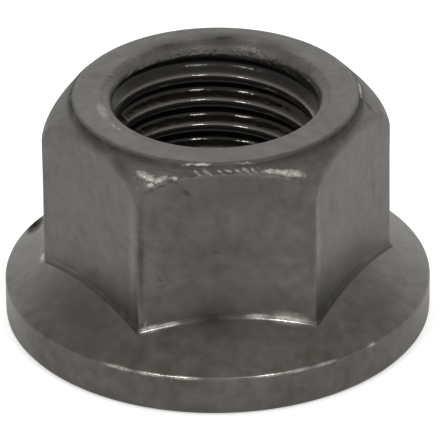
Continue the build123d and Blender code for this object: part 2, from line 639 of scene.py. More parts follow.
@dataclass
class NutSkin:
    """The whole surface of the forged, turned and tapped nut as one closed mesh.

    Args:
        sizes: The nut's sizes.
        thread: Its thread.
        condition: How worn and how dirty it is, and where shade and highlights are painted on it.
        corner_steps: Angles of the columns beside a corner, in degrees from it.
        even_steps: How many even steps there are from there to the middle of a flat.
        softness: How softly the sharpest edges are rounded.
        shoulder_softness: How softly the flats run into the shoulder.
        hole_start: Height from which the hole's rows climb with the helix.
        wave_size: How wide the forging waves are.
        wave_depth: How deep they are.
        ripple_size: How wide the smaller waves on them are.
        ripple_depth: How deep those are.
        ripple_shift: Where the smaller waves are taken from.
        forged_waves: How much of the waves forged surfaces have.
        turned_waves: How much of them turned surfaces have.
    """

    sizes: NutSizes
    thread: ThreadForm
    condition: Condition
    corner_steps: tuple[float, ...] = (0.2, 0.4, 0.6, 0.8, 1.0, 1.3, 1.7, 2.3, 3.2)
    even_steps: int = 21
    softness: float = 0.06
    shoulder_softness: float = 0.25
    hole_start: float = 0.25
    wave_size: float = 3.1
    wave_depth: float = 0.035
    ripple_size: float = 0.9
    ripple_depth: float = 0.012
    ripple_shift: tuple[float, float, float] = (7.1, 3.3, 1.7)
    forged_waves: float = 0.8
    turned_waves: float = 0.35

    def azimuths(self) -> np.ndarray:
        """Angles of the columns in radians, closer together at the six corners.

        Returns:
            The angles, once round from +X.
        """
        even = np.linspace(self.corner_steps[-1], 30.0, self.even_steps + 1)[1:]
        half = np.concatenate([self.corner_steps, even])
        sector = np.concatenate([[0.0], half, 60.0 - half[-2::-1]])
        return np.radians(np.concatenate([sector + 60.0 * k for k in range(6)]))

    def outer_rows(self, azimuth: np.ndarray) -> Rows:
        """Rows from the lower countersink over the outside to the upper one.

        Args:
            azimuth: Angles of the columns.

        Returns:
            The rows.
        """
        rows = Rows(len(azimuth))
        hexagon = self.sizes.hexagon(azimuth)
        self._seat(rows)
        self._rim(rows)
        self._cone_and_foot(rows, hexagon)
        self._flats_and_shoulder(rows, hexagon)
        self._ring_and_mouth(rows)
        return rows

    def _seat(self, rows: Rows) -> None:
        """The lower countersink, the seating face and its chamfer.

        Args:
            rows: The rows to add to.
        """
        s, soft = self.sizes, self.softness
        mouth, corner = s.seat_mouth_radius, s.flange_radius - s.seat_chamfer
        slope = math.tan(s.seat_countersink)
        lowest = (mouth - soft * slope, soft)
        rows.line((mouth - self.hole_start * slope, self.hole_start), lowest, (0, 0.9), Zone.SEAT)
        rows.bend(lowest, (mouth, 0), (mouth + soft, 0), 4, Zone.SEAT)
        rows.line((mouth + soft, 0), (corner - soft, 0), (0.02, 0.25, 0.5, 0.75, 0.98), Zone.SEAT)
        rows.bend((corner - soft, 0), (corner, 0), (corner + soft, soft), 4, Zone.SEAT)

    def _rim(self, rows: Rows) -> None:
        """The rim's upright wall and the rounding above it.

        Args:
            rows: The rows to add to.
        """
        s, soft = self.sizes, self.softness
        full, low = s.flange_radius, s.seat_chamfer
        turn = math.pi / 2 - s.flange_slope
        top = s.rim_height - s.rim_round * math.tan(turn / 2)
        rows.bend((full - soft, low - soft), (full, low), (full, low + 2 * soft), 5, Zone.RIM)
        rows.line((full, low + 2 * soft), (full, top), (0.06, 0.3, 0.55, 0.8, 0.96), Zone.RIM)
        rows.arc((full - s.rim_round, top), s.rim_round, np.linspace(0, turn, 8), Zone.RIM)

    def _cone_and_foot(self, rows: Rows, hexagon: np.ndarray) -> None:
        """The cone of the flange and the fillet where the hexagon stands on it.

        Args:
            rows: The rows to add to.
            hexagon: The flats' distance from the axis, column by column.
        """
        s = self.sizes
        slope, fillet = s.flange_slope, s.foot_fillet
        turn = math.pi / 2 - slope
        start = s.flange_radius - s.rim_round * math.tan(turn / 2) * math.cos(slope)
        centre = hexagon + fillet
        centre_height = s.cone_height(centre) + fillet / math.cos(slope)
        end = centre - fillet * math.sin(slope)
        shares = (0.015, *np.linspace(0.08, 0.92, 11), 0.985)
        rows.line((start, s.cone_height(start)), (end, s.cone_height(end)), shares, Zone.CONE)
        rows.arc((centre, centre_height), fillet, np.linspace(math.pi * 1.5 - slope, math.pi, 9), Zone.FOOT)

    def _flats_and_shoulder(self, rows: Rows, hexagon: np.ndarray) -> None:
        """The wrench flats and the round shoulder that trims them.

        Args:
            rows: The rows to add to.
            hexagon: The flats' distance from the axis, column by column.
        """
        s, soft = self.sizes, self.shoulder_softness
        middle, middle_height = s.shoulder_middle
        lean = np.arccos(np.clip((hexagon - middle) / s.shoulder_round, -1, 1))
        foot = s.cone_height(hexagon + s.foot_fillet) + s.foot_fillet / math.cos(s.flange_slope)
        edge = middle_height + s.shoulder_round * np.sin(lean) - soft
        rows.line((hexagon, foot), (hexagon, edge), (0.01, *np.linspace(0.05, 0.95, 18), 0.985), Zone.FLAT)
        onward = lean + soft / s.shoulder_round
        end = middle + s.shoulder_round * np.cos(onward), middle_height + s.shoulder_round * np.sin(onward)
        corner = end[1] - (hexagon - end[0]) / np.tan(onward)
        rows.bend((hexagon, edge), (hexagon, corner), end, 8, Zone.SHOULDER)
        last = math.acos((s.ring_foot + self.softness - middle) / s.shoulder_round)
        angles = [onward + (last - onward) * share for share in (0.03, *np.linspace(0.1, 0.97, 10))]
        rows.arc((middle, middle_height), s.shoulder_round, angles, Zone.SHOULDER)

    def _ring_and_mouth(self, rows: Rows) -> None:
        """The raised ring, its flat top and the mouth of the hole.

        Args:
            rows: The rows to add to.
        """
        s, soft = self.sizes, self.softness
        top, foot = s.height, s.height - s.ring_step
        out, up = math.cos(s.ring_wall_slope), math.sin(s.ring_wall_slope)
        shoulder, wall = (s.ring_foot + soft, foot - soft / 2), (s.ring_foot - soft * out, foot + soft * up)
        rows.bend(shoulder, (s.ring_foot, foot), wall, 5, Zone.SHOULDER)
        bend = s.ring_round * math.tan(s.ring_wall_slope / 2)
        wall, flat = (s.ring_radius + bend * out, top - bend * up), (s.ring_radius - bend, top)
        rows.bend(wall, (s.ring_radius, top), flat, 9, Zone.RING)
        lip = s.lip_round * math.tan(math.pi / 4 - s.top_countersink / 2)
        inward, down = lip * math.sin(s.top_countersink), lip * math.cos(s.top_countersink)
        lip_start = (s.top_mouth_radius + lip, top)
        rows.line(flat, lip_start, (0.04, 0.25, 0.5, 0.75, 0.96), Zone.RING)
        hole = (s.top_mouth_radius - inward, top - down)
        rows.bend(lip_start, (s.top_mouth_radius, top), hole, 12, Zone.COUNTERSINK)

    def build(self) -> bpy.types.Object:
        """Make the mesh, with what the finish reads stored on its points.

        Returns:
            The nut's object.
        """
        azimuth = self.azimuths()
        count = len(azimuth)
        rows = self.outer_rows(azimuth)
        radius, height = np.array(rows.radius), np.array(rows.height)
        zone = np.repeat(rows.zone, count)
        points = self._points(radius, height, azimuth)
        faces = self._bands(len(radius), count)
        low, high = float(height[0, 0]), float(height[-1, 0])
        inner, inner_faces, first, last = self._hole(azimuth, low, high, len(points))
        points = np.concatenate([points, inner])
        zone = np.concatenate([zone, np.full(len(inner), Zone.THREAD.value)])
        top = (len(radius) - 1) * count + np.arange(count)
        bottom = np.arange(count)
        faces = np.concatenate([faces, inner_faces, self._stitch(top, last), self._stitch(first, bottom)])
        points, faces, zone = self._merged(points, faces, zone)
        return self._object(points, faces, zone)

    @staticmethod
    def _points(radius: np.ndarray, height: np.ndarray, azimuth: np.ndarray) -> np.ndarray:
        """Points in millimetres from rows of radius and height.

        Args:
            radius: Distance from the axis, by row and column.
            height: Height above the seat, by row and column.
            azimuth: Angles of the columns.

        Returns:
            The points, row by row.
        """
        around = np.broadcast_to(azimuth, radius.shape)
        stacked = np.stack([radius * np.cos(around), radius * np.sin(around), height], axis=-1)
        return stacked.reshape(-1, 3)

    @staticmethod
    def _bands(rows: int, columns: int) -> np.ndarray:
        """Quads between neighbouring closed rows.

        Args:
            rows: How many rows there are.
            columns: How many points each row has.

        Returns:
            Four indexes per quad.
        """
        here = np.arange(columns)
        after = (here + 1) % columns
        low = np.arange(rows - 1)[:, None] * columns
        high = low + columns
        return np.stack([low + here, low + after, high + after, high + here], axis=-1).reshape(-1, 4)

    @staticmethod
    def _stitch(lower: np.ndarray, upper: np.ndarray) -> np.ndarray:
        """Quads between two closed rows of points given by index."""
        return np.stack([lower, np.roll(lower, -1), np.roll(upper, -1), upper], axis=-1)

    def _hole(
        self, azimuth: np.ndarray, bottom: float, top: float, offset: int
    ) -> tuple[np.ndarray, np.ndarray, np.ndarray, np.ndarray]:
        """The tapped hole, whose rows climb with the helix and end on two level circles.

        Args:
            azimuth: Angles of the columns.
            bottom: Height of the lower end.
            top: Height of the upper end.
            offset: How many points the mesh has already.

        Returns:
            Points, quads, and the indexes of the lowest and the highest row.
        """
        pitch, phase = self.sizes.thread_pitch, self.thread.phase
        stations = self.thread.stations()
        per_turn = len(stations)
        turns = np.arange(math.floor((bottom - phase) / pitch) - 1, math.ceil((top - phase) / pitch) + 1)
        starts = (turns[:, None] + stations[None, :]).reshape(-1) * pitch + phase
        height = np.clip(starts[:, None] + pitch * azimuth[None, :] / (2 * math.pi), bottom, top)
        radius = self.thread.surface(np.broadcast_to(azimuth, height.shape), height)
        points = self._points(radius, height, azimuth)
        rows, columns = height.shape
        index = np.arange(rows * columns).reshape(rows, columns) + offset
        here, after = index[:, :-1], index[:, 1:]
        inside = np.stack([here[:-1], after[:-1], after[1:], here[1:]], axis=-1).reshape(-1, 4)
        end, start = index[:-per_turn, -1], index[per_turn:, 0]
        seam = np.stack([end[:-1], start[:-1], start[1:], end[1:]], axis=-1)
        quads = np.concatenate([inside, seam])[:, ::-1]
        return points, quads, index[0], index[-1]

    @staticmethod
    def _merged(
        points: np.ndarray, faces: np.ndarray, zone: np.ndarray
    ) -> tuple[np.ndarray, list[list[int]], np.ndarray]:
        """Join points that share a place and drop the faces that this leaves without area.

        Args:
            points: The points, in millimetres.
            faces: The indexes of each quad's corners.
            zone: The kind of surface that each point belongs to.

        Returns:
            The points that are left, the faces with at least three corners, and the points' kinds.
        """
        keys = np.round(points * MERGE_PER_MM).astype(np.int64)
        _, keep, new = np.unique(keys, axis=0, return_index=True, return_inverse=True)
        new = new.reshape(-1)
        kept = []
        for face in new[faces].tolist():
            ring = [point for k, point in enumerate(face) if point != face[k - 1]]
            if len(set(ring)) == len(ring) and len(ring) > 2:
                kept.append(ring)
        return points[keep], kept, zone[keep]

    def _object(self, points: np.ndarray, faces: list[list[int]], zone: np.ndarray) -> bpy.types.Object:
        """Make the object, push its surface in unevenly and store what the finish reads.

        Args:
            points: The nut's points, in millimetres.
            faces: The indexes of each face's corners.
            zone: The kind of surface that each belongs to.

        Returns:
            The nut's object.
        """
        mesh = bpy.data.meshes.new("nut_skin")
        mesh.from_pydata((points * MM).tolist(), [], faces)
        mesh.validate()
        normals = np.zeros(len(mesh.vertices) * 3, np.float32)
        mesh.vertices.foreach_get("normal", normals)
        normals = normals.reshape(-1, 3)
        push = self._forging(points, zone)
        shaped = points - normals * push[:, None]
        shaped[:, 2] = np.clip(shaped[:, 2], 0.0, self.sizes.height)
        mesh.vertices.foreach_set("co", (shaped * MM).astype(np.float32).ravel())
        for name, values in self.condition.layers(points, zone).items():
            layer = mesh.attributes.new(name, "FLOAT", "POINT")
            layer.data.foreach_set("value", values.astype(np.float32))
        mesh.polygons.foreach_set("use_smooth", np.ones(len(mesh.polygons), bool))
        mesh.update()
        item = bpy.data.objects.new("nut_skin", mesh)
        bpy.context.scene.collection.objects.link(item)
        return item

    def _forging(self, points: np.ndarray, zone: np.ndarray) -> np.ndarray:
        """Depth in millimetres of the shallow waves that forging and tumbling left.

        Args:
            points: The nut's points, in millimetres.
            zone: The kind of surface that each belongs to.

        Returns:
            One depth per point.
        """
        depth = np.zeros(len(points))
        shift = Vector(self.ripple_shift)
        waves = self.forged_waves * within(zone, *FORGED) + self.turned_waves * within(zone, *TURNED)
        for k in np.flatnonzero(waves):
            place = Vector(points[k])
            wave = 0.5 + 0.5 * noise.noise(place / self.wave_size)
            ripple = 0.5 + 0.5 * noise.noise(place / self.ripple_size + shift)
            depth[k] = waves[k] * (self.wave_depth * wave + self.ripple_depth * ripple)
        return depth


@dataclass(frozen=True)
class Grain:
    """A noise pattern.

    Args:
        per_metre: How many of its features fit in a metre.
        detail: How many finer patterns lie over it.
        roughness: How strong the finer ones are.
    """

    per_metre: float
    detail: float
    roughness: float


class Nodes:
    """Short ways to add and join shader nodes in one tree."""

    def __init__(self, tree: bpy.types.NodeTree) -> None:
        """Start with an empty tree."""
        self.tree = tree
        tree.nodes.clear()

    def add(self, kind: str, **settings: object) -> bpy.types.Node:
        """Add a node.

        Args:
            kind: The node's type name without its ShaderNode prefix.
            **settings: Its properties.

        Returns:
            The new node.
        """
        node = self.tree.nodes.new("ShaderNode" + kind)
        for name, value in settings.items():
            setattr(node, name, value)
        return node

    def put(self, target: Socket, source: object) -> None:
        """Feed a socket with another socket or a plain value.

        Args:
            target: The socket that is fed.
            source: What it is fed with.
        """
        if isinstance(source, Socket):
            self.tree.links.new(source, target)
        else:
            target.default_value = source

    def attribute(self, name: str) -> Socket:
        """The number stored on the points under this name."""
        return self.add("Attribute", attribute_name=name).outputs["Fac"]

    def grain(self, place: Socket, grain: Grain) -> Socket:
        """A noise pattern at a place, about 0.5 on average.

        Args:
            place: The place in object space.
            grain: The pattern.

        Returns:
            A value between 0 and 1.
        """
        node = self.add("TexNoise")
        self.put(node.inputs["Vector"], place)
        node.inputs["Scale"].default_value = grain.per_metre
        node.inputs["Detail"].default_value = grain.detail
        node.inputs["Roughness"].default_value = grain.roughness
        return node.outputs["Fac"]

    def bump(self, height: Socket, strength: float, depth: float, normal: Socket | None = None) -> Socket:
        """A surface that a pattern of heights roughens.

        Args:
            height: The pattern, from 0 to 1.
            strength: How strongly it acts.
            depth: How deep it is, in metres.
            normal: The surface that it lies on, if that is rough already.

        Returns:
            The direction in which the surface faces.
        """
        node = self.add("Bump")
        node.inputs["Strength"].default_value = strength
        node.inputs["Distance"].default_value = depth
        self.put(node.inputs["Height"], height)
        if normal:
            self.put(node.inputs["Normal"], normal)
        return node.outputs["Normal"]

    def spread(
        self, value: Socket, low: float, high: float, to_low: float = 0.0, to_high: float = 1.0
    ) -> Socket:
        """Map a span of values onto another, clamped at both ends.

        Args:
            value: The value that is mapped.
            low: Where its span starts.
            high: Where its span ends.
            to_low: What the start becomes.
            to_high: What the end becomes.

        Returns:
            The mapped value.
        """
        node = self.add("MapRange")
        self.put(node.inputs["Value"], value)
        for name, number in (("From Min", low), ("From Max", high), ("To Min", to_low), ("To Max", to_high)):
            node.inputs[name].default_value = number
        return node.outputs["Result"]

    def reckon(self, operation: str, first: object, second: object) -> Socket:
        """One sum, product or other operation on two values.

        Args:
            operation: Its name.
            first: A socket or a number.
            second: A socket or a number.

        Returns:
            The result.
        """
        node = self.add("Math", operation=operation)
        self.put(node.inputs[0], first)
        self.put(node.inputs[1], second)
        return node.outputs[0]

    def mixed(self, share: object, first: object, second: object) -> Socket:
        """Two colours mixed by a share.

        Args:
            share: How much of the second one there is.
            first: A socket or a colour.
            second: A socket or a colour.

        Returns:
            The mixed colour.
        """
        node = self.add("Mix", data_type="RGBA")
        self.put(node.inputs["Factor"], share)
        self.put(node.inputs["A"], first)
        self.put(node.inputs["B"], second)
        return node.outputs["Result"]


@dataclass(frozen=True)
class PhosphatedSteel:
    """Dark grey phosphate on steel, mottled and rubbed bright on its edges, with painted highlights and
    painted shade.

    Args:
        marks: Its scuffs and stains.
        dark: Its colour where it is darkest.
        light: Its colour where it is lightest.
        bare_and_highlight: Where the coating is rubbed off, and on painted highlights.
        dark_oil_and_shade: Under old oil and dirt, and where shade is painted.
        cut_and_shade: On the tapped thread, darkened as painted shade inside the hole.
        metallic: How much it reflects as a metal.
        specular: How much it reflects besides.
        smooth: Its roughness where it is darkest.
        rough: Its roughness where it is lightest.
        patches: The pattern of its broad patches.
        specks: The pattern of its specks.
        mottled: The span of both that runs from dark to light.
        turned_gain: How much lighter the turned ring is.
        cut_gloss: How much smoother the thread is.
        matt_gain: How much rougher the dull surfaces are.
        dirt_and_shade_dull: How much rougher dirt and painted shade make it.
        dirt_and_shade_specks: The span of the specks that shows in dirt and painted shade, and what it leaves
            of them.
        crest_wear_and_highlight: How bright the rubbed edges of the crests are, with their painted highlight.
        scuff_gloss: How much smoother a scuff is.
        ragged: How far the marks' borders wander, in millimetres.
        ragged_per_metre: How many of those turns fit in a metre.
        mark_grain: The pattern that breaks the marks up.
        scuff_and_highlight_breaks: The span of that pattern in scuffs and painted highlights, and what it
            leaves of them.
        stain_breaks: The span of that pattern in stains, and what it leaves of them.
        fine: The pattern of the finest bumps.
        coarse: The pattern of the bumps among them.
        bumps: How strong those bumps are, and their depth in metres.
        torn: The pattern of torn metal.
        tears: How strong it is, and its depth in metres.
        scuff_tears: How torn a scuff is.
    """

    marks: tuple[Mark, ...]
    dark: Colour = (0.098, 0.092, 0.082, 1.0)
    light: Colour = (0.184, 0.178, 0.165, 1.0)
    # bare metal colour, also used for painted highlights
    bare_and_highlight: Colour = (0.62, 0.60, 0.57, 1.0)
    dark_oil_and_shade: Colour = (0.030, 0.029, 0.027, 1.0)
    # the thread's colour, dark as painted shade inside the hole
    cut_and_shade: Colour = (0.062, 0.055, 0.049, 1.0)
    metallic: float = 0.75
    specular: float = 0.5
    smooth: float = 0.25
    rough: float = 0.36
    patches: Grain = Grain(300.0, 3.0, 0.6)
    specks: Grain = Grain(1400.0, 2.0, 0.55)
    mottled: Span = (0.30, 0.70)
    turned_gain: float = 0.14
    cut_gloss: float = 0.18
    matt_gain: float = 0.14
    dirt_and_shade_dull: float = 0.3
    dirt_and_shade_specks: tuple[float, ...] = (0.1, 0.6, 0.75, 1.0)
    crest_wear_and_highlight: float = 0.32
    scuff_gloss: float = 0.10
    ragged: float = 0.24
    ragged_per_metre: float = 3600.0
    mark_grain: Grain = Grain(4200.0, 2.0, 0.6)
    scuff_and_highlight_breaks: tuple[float, ...] = (0.36, 0.56, 0.45, 1.0)
    stain_breaks: tuple[float, ...] = (0.36, 0.56, 0.65, 1.0)
    fine: Grain = Grain(1500.0, 1.0, 0.5)
    coarse: Grain = Grain(600.0, 2.0, 0.5)
    bumps: Span = (0.3, 0.00004)
    torn: Grain = Grain(3000.0, 2.0, 0.6)
    tears: Span = (0.8, 0.00012)
    scuff_tears: float = 0.25

    def material(self) -> bpy.types.Material:
        """Build the node material.

        Returns:
            The finish of the whole nut.
        """
        made = bpy.data.materials.new("phosphated_steel")
        made.use_nodes = True
        nodes = Nodes(made.node_tree)
        place = nodes.add("TexCoord").outputs["Object"]
        patches = nodes.spread(nodes.grain(place, self.patches), *self.mottled)
        specks = nodes.spread(nodes.grain(place, self.specks), *self.mottled)
        tone = nodes.reckon("MULTIPLY", nodes.reckon("ADD", patches, specks), 0.5)
        # dirt and painted shade, broken up by the specks
        dirt_and_shade = nodes.reckon("MULTIPLY", nodes.attribute("grime_and_shade"), nodes.spread(specks, *self.dirt_and_shade_specks))
        shine, stain = self._marks(nodes, place)
        shader = nodes.add("BsdfPrincipled")
        nodes.put(shader.inputs["Base Color"], self._colour(nodes, tone, dirt_and_shade, shine, stain))
        nodes.put(shader.inputs["Roughness"], self._roughness(nodes, tone, dirt_and_shade, shine, stain))
        clean = nodes.reckon("SUBTRACT", 1.0, dirt_and_shade)
        nodes.put(shader.inputs["Metallic"], nodes.reckon("MULTIPLY", clean, self.metallic))
        nodes.put(shader.inputs["Specular IOR Level"], nodes.reckon("MULTIPLY", clean, self.specular))
        nodes.put(shader.inputs["Normal"], self._relief(nodes, place, shine))
        nodes.put(nodes.add("OutputMaterial").inputs["Surface"], shader.outputs["BSDF"])
        return made

    def _colour(self, nodes: Nodes, tone: Socket, dirt_and_shade: Socket, shine: Socket, stain: Socket) -> Socket:
        """Its colour, from the mottled coating with its painted shade up to the scuffs and painted
        highlights.

        Args:
            nodes: The material's nodes.
            tone: How light the coating is, 0 to 1.
            dirt_and_shade: How dirty it is and how much shade is painted on it, 0 to 1.
            shine: How bright the scuffs, rubbed edges and painted highlights are, 0 to 1.
            stain: How dark the stains are, 0 to 1.

        Returns:
            The colour.
        """
        turned = nodes.reckon("MULTIPLY", nodes.attribute("ring"), self.turned_gain)
        colour = nodes.mixed(nodes.reckon("ADD", tone, turned), self.dark, self.light)
        # the thread takes a colour darkened as painted shade inside the hole
        colour = nodes.mixed(nodes.attribute("thread"), colour, self.cut_and_shade)
        # old oil, dirt and painted shade darken it
        colour = nodes.mixed(nodes.reckon("MAXIMUM", nodes.attribute("groove"), dirt_and_shade), colour, self.dark_oil_and_shade)
        colour = nodes.mixed(stain, colour, self.dark_oil_and_shade)
        # painted highlight on the crests' edges, partly stud wear
        rubbed_and_highlit = nodes.reckon("MULTIPLY", nodes.attribute("burnish_and_highlight"), self.crest_wear_and_highlight)
        # scuffs, rubbed edges and painted highlights take the bare colour
        return nodes.mixed(nodes.reckon("MAXIMUM", shine, rubbed_and_highlit), colour, self.bare_and_highlight)

    def _roughness(self, nodes: Nodes, tone: Socket, dirt_and_shade: Socket, shine: Socket, stain: Socket) -> Socket:
        """Its roughness, which follows the coating, the dirt and painted shade, and the wear and painted
        highlights.

        Args:
            nodes: The material's nodes.
            tone: How light the coating is, 0 to 1.
            dirt_and_shade: How dirty it is and how much shade is painted on it, 0 to 1.
            shine: How bright the scuffs, rubbed edges and painted highlights are, 0 to 1.
            stain: How dark the stains are, 0 to 1.

        Returns:
            The roughness.
        """
        roughness = nodes.spread(tone, 0.0, 1.0, self.smooth, self.rough)
        changes = (
            ("ADD", nodes.reckon("MAXIMUM", stain, dirt_and_shade), self.dirt_and_shade_dull),
            ("SUBTRACT", shine, self.scuff_gloss),
            ("SUBTRACT", nodes.attribute("thread"), self.cut_gloss),
            ("ADD", nodes.attribute("matt"), self.matt_gain),
        )
        for operation, share, amount in changes:
            roughness = nodes.reckon(operation, roughness, nodes.reckon("MULTIPLY", share, amount))
        return roughness

    def _marks(self, nodes: Nodes, place: Socket) -> tuple[Socket, Socket]:
        """How bright and how dark the scuffs, painted highlights and stains make each place, with ragged
        borders.

        Args:
            nodes: The material's nodes.
            place: The place in object space.

        Returns:
            How bright it is, and how dark.
        """
        moved = self._ragged_place(nodes, place)
        # painted highlights and rubbed edges stored on the mesh
        shine = nodes.attribute("worn_and_highlight")
        stain = None
        for mark in self.marks:
            one = nodes.reckon("MULTIPLY", mark.weight(nodes, moved), mark.strength)
            if mark.shine:
                shine = nodes.reckon("MAXIMUM", one, shine)
            else:
                stain = nodes.reckon("MAXIMUM", one, stain) if stain else one
        grain = nodes.grain(place, self.mark_grain)
        shine = nodes.reckon("MULTIPLY", shine, nodes.spread(grain, *self.scuff_and_highlight_breaks))
        return shine, nodes.reckon("MULTIPLY", stain, nodes.spread(grain, *self.stain_breaks))

    def _ragged_place(self, nodes: Nodes, place: Socket) -> Socket:
        """The place, moved a little to and fro.

        Args:
            nodes: The material's nodes.
            place: The place in object space.

        Returns:
            The moved place.
        """
        wobble = nodes.add("TexNoise")
        nodes.put(wobble.inputs["Vector"], place)
        wobble.inputs["Scale"].default_value = self.ragged_per_metre
        centred = nodes.add("VectorMath", operation="SUBTRACT")
        nodes.put(centred.inputs[0], wobble.outputs["Color"])
        centred.inputs[1].default_value = (0.5, 0.5, 0.5)
        shift = nodes.add("VectorMath", operation="SCALE")
        nodes.put(shift.inputs[0], centred.outputs[0])
        shift.inputs["Scale"].default_value = self.ragged * MM
        moved = nodes.add("VectorMath", operation="ADD")
        nodes.put(moved.inputs[0], place)
        nodes.put(moved.inputs[1], shift.outputs[0])
        return moved.outputs[0]

    def _relief(self, nodes: Nodes, place: Socket, shine: Socket) -> Socket:
        """Fine bumps all over, and torn metal in the scuffs and round the mouth of the hole.

        Args:
            nodes: The material's nodes.
            place: The place in object space.
            shine: How bright the scuffs, rubbed edges and painted highlights are, 0 to 1.

        Returns:
            The direction in which the surface faces.
        """
        fine = nodes.reckon("ADD", nodes.grain(place, self.fine), nodes.grain(place, self.coarse))
        scuffed = nodes.reckon("MULTIPLY", shine, self.scuff_tears)
        hurt = nodes.reckon("MAXIMUM", nodes.attribute("torn"), scuffed)
        level = nodes.reckon("SUBTRACT", nodes.grain(place, self.torn), 0.5)
        return nodes.bump(nodes.reckon("MULTIPLY", level, hurt), *self.tears, nodes.bump(fine, *self.bumps))


def direction(azimuth: float, elevation: float) -> Vector:
    """The direction from the nut to something round it.

    Args:
        azimuth: Where it stands in degrees, 0 in front and 90 on the right.
        elevation: How high it stands, in degrees.

    Returns:
        A direction of length 1.
    """
    turn, rise = math.radians(azimuth), math.radians(elevation)
    return Vector((math.sin(turn) * math.cos(rise), -math.cos(turn) * math.cos(rise), math.sin(rise)))


@dataclass(frozen=True)
class Lamp:
    """A soft lamp, aimed at the nut.

    Args:
        name: What it is.
        azimuth: Where it stands round the nut in degrees, 0 in front and 90 on the right.
        elevation: How high it stands, in degrees.
        distance: How far away it is, in metres.
        size: Its width and height, in metres.
        power: Its power, in watts.
        mirrored: Whether shiny surfaces show it.
    """

    name: str
    azimuth: float
    elevation: float
    distance: float
    size: Span
    power: float
    mirrored: bool = True

    def build(self, target: Vector) -> None:
        """Hang the lamp and turn it to the target.

        Args:
            target: The point that it is aimed at.
        """
        data = bpy.data.lights.new(self.name, "AREA")
        data.shape = "RECTANGLE"
        data.size, data.size_y = self.size
        data.energy = self.power
        lamp = bpy.data.objects.new(self.name, data)
        away = direction(self.azimuth, self.elevation)
        lamp.location = target + away * self.distance
        lamp.rotation_euler = away.to_track_quat("Z", "Y").to_euler()
        lamp.visible_camera = False
        lamp.visible_glossy = self.mirrored
        bpy.context.scene.collection.objects.link(lamp)


@dataclass(frozen=True)
class Studio:
    """A pale floor, soft lamps and a bright surround with a dim ceiling.

    Args:
        lamps: The lamps.
        floor_half: Half the floor's width, in metres.
        floor_tone: How pale it is.
        floor_lift: How much it glows, to the camera only.
        horizon: How bright the surround's bright parts are, behind the nut and below it.
        ceiling: How bright its dim parts are, overhead and in front.
        ceiling_edge: The heights between which it dims towards the ceiling.
        room_edge: The places from front to back between which it brightens.
        table_edge: The heights between which it dims in front.
        gap: How far the floor lies under the seat, in metres.
        room: The colour of its dim parts.
        white: The colour of its bright parts.
    """

    lamps: tuple[Lamp, ...]
    floor_half: float = 2.0
    floor_tone: float = 0.9
    floor_lift: float = 0.5
    horizon: float = 0.97
    ceiling: float = 0.48
    ceiling_edge: Span = (0.52, 0.64)
    room_edge: Span = (0.40, 0.65)
    table_edge: Span = (0.15, 0.35)
    gap: float = 0.00003
    room: Colour = (1.0, 0.97, 0.93, 1.0)
    white: Colour = (1.0, 1.0, 1.0, 1.0)

    def build(self, target: Vector) -> None:
        """Build everything round the nut.

        Args:
            target: The point that the lamps are aimed at.
        """
        for lamp in self.lamps:
            lamp.build(target)
            LOG.info("lamp %s", lamp.name)
        self._floor()
        self._surround()

    def _floor(self) -> None:
        """The floor, which looks white to the camera and keeps the nut's shadow."""
        half, level = self.floor_half, -self.gap
        mesh = bpy.data.meshes.new("floor")
        corners = [(-half, -half, level), (half, -half, level), (half, half, level), (-half, half, level)]
        mesh.from_pydata(corners, [], [(0, 1, 2, 3)])
        floor = bpy.data.objects.new("floor", mesh)
        bpy.context.scene.collection.objects.link(floor)
        material = bpy.data.materials.new("floor")
        material.use_nodes = True
        nodes = Nodes(material.node_tree)
        matt = nodes.add("BsdfDiffuse")
        matt.inputs["Color"].default_value = (*[self.floor_tone] * 3, 1.0)
        glow = nodes.add("Emission")
        seen = nodes.add("LightPath").outputs["Is Camera Ray"]
        nodes.put(glow.inputs["Strength"], nodes.reckon("MULTIPLY", seen, self.floor_lift))
        material.cycles.emission_sampling = "NONE"
        both = nodes.add("AddShader")
        nodes.put(both.inputs[0], matt.outputs[0])
        nodes.put(both.inputs[1], glow.outputs[0])
        nodes.put(nodes.add("OutputMaterial").inputs["Surface"], both.outputs[0])
        mesh.materials.append(material)

    def _surround(self) -> None:
        """The surround: white to the camera, bright near the horizon and dim overhead."""
        world = bpy.data.worlds.new("surround")
        bpy.context.scene.world = world
        world.use_nodes = True
        nodes = Nodes(world.node_tree)
        split = nodes.add("SeparateXYZ")
        nodes.put(split.inputs[0], nodes.add("TexCoord").outputs["Generated"])
        low = nodes.spread(split.outputs["Z"], *self.ceiling_edge, 1.0, 0.0)
        behind = nodes.spread(split.outputs["Y"], *self.room_edge, 0.0, 1.0)
        below = nodes.spread(split.outputs["Z"], *self.table_edge, 1.0, 0.0)
        lit = nodes.reckon("MULTIPLY", low, nodes.reckon("MAXIMUM", behind, below))
        shade = nodes.spread(lit, 0.0, 1.0, self.ceiling, self.horizon)
        seen = nodes.add("LightPath").outputs["Is Camera Ray"]
        backdrop = nodes.add("Background")
        bright = nodes.reckon("MAXIMUM", seen, lit)
        nodes.put(backdrop.inputs["Color"], nodes.mixed(bright, self.room, self.white))
        nodes.put(backdrop.inputs["Strength"], nodes.reckon("MAXIMUM", seen, shade))
        nodes.put(nodes.add("OutputWorld").inputs["Surface"], backdrop.outputs[0])


